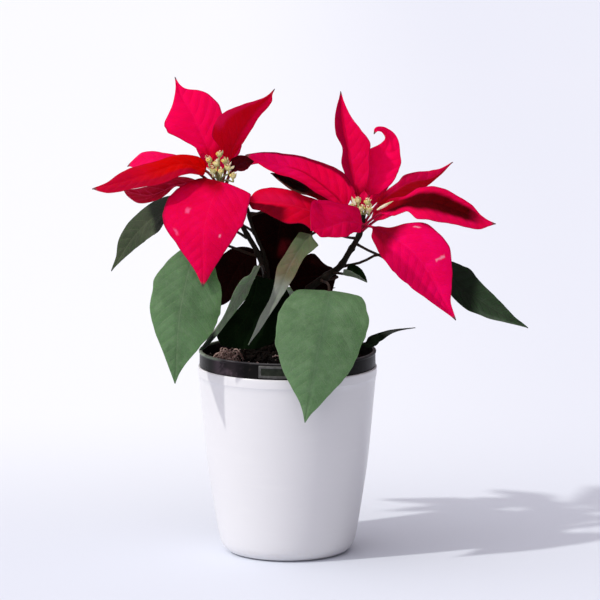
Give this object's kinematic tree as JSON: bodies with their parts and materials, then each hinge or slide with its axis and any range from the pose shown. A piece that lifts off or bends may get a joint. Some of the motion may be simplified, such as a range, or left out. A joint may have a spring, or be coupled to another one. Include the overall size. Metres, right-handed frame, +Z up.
{
  "type": "potted poinsettia",
  "caption": "Potted poinsettia with spreading crimson flower heads on woody stems, dark green hanging leaves, in a black nursery pot inside a tapered white cover pot.",
  "frame": {"origin": "centre of the cover pot's flat underside, on the table", "axes": "+Z up along the pots' shared axis; the viewer's side faces -Y, with the taller flower head at -X and the longer reach at +X"},
  "size_m": [0.329, 0.2058, 0.3582],
  "materials": {
    "cover_pot": "smooth white, satin gloss",
    "nursery_pot": "black, slight sheen",
    "soil": "dark growing medium, dry crumbs on top",
    "stems": "semi-woody, brownish green",
    "bracts": "velvety crimson bracts with fine veins",
    "leaf_green": "matte greyish green, paler below",
    "leaf_dark": "matte dark green",
    "leaf_olive": "matte olive with brown",
    "leaf_maroon": "matte maroon",
    "cyathia": "yellow green with red tips"
  },
  "bodies": {
    "root": {"cover_pot": "cover_pot", "nursery_pot": "nursery_pot", "soil": "soil", "stems": "stems", "bract_left_back_left": "bracts", "bract_left_back_right": "bracts", "bract_left_folded": "bracts", "bract_left_hanging": "bracts", "bract_left_side": "bracts", "bract_left_side_back": "bracts", "bract_left_side_low": "bracts", "bract_left_small": "bracts", "bract_left_upper": "bracts", "bract_right_arching": "bracts", "bract_right_back": "bracts", "bract_right_back_right": "bracts", "bract_right_between": "bracts", "bract_right_dark": "bracts", "bract_right_hanging": "bracts", "bract_right_hooked": "bracts", "bract_right_long": "bracts", "bract_right_low_left": "bracts", "bract_right_narrow": "bracts", "bract_right_upper_left": "bracts", "cyathium_left_1": "cyathia", "cyathium_left_2": "cyathia", "cyathium_left_3": "cyathia", "cyathium_left_4": "cyathia", "cyathium_left_5": "cyathia", "cyathium_left_6": "cyathia", "cyathium_left_7": "cyathia", "cyathium_left_8": "cyathia", "cyathium_right_1": "cyathia", "cyathium_right_2": "cyathia", "cyathium_right_3": "cyathia", "cyathium_right_4": "cyathia", "cyathium_right_5": "cyathia", "leaf_back": "leaf_green", "leaf_back_high": "leaf_green", "leaf_back_left": "leaf_green", "leaf_back_right": "leaf_green", "leaf_cluster": "leaf_green", "leaf_front": "leaf_green", "leaf_inner": "leaf_green", "leaf_left_back": "leaf_green", "leaf_left_edge": "leaf_green", "leaf_left_front": "leaf_green", "leaf_low_right": "leaf_green", "leaf_maroon": "leaf_maroon", "leaf_olive": "leaf_olive", "leaf_right": "leaf_dark", "leaf_shade": "leaf_green", "leaf_small": "leaf_green"}
  },
  "joints": []
}
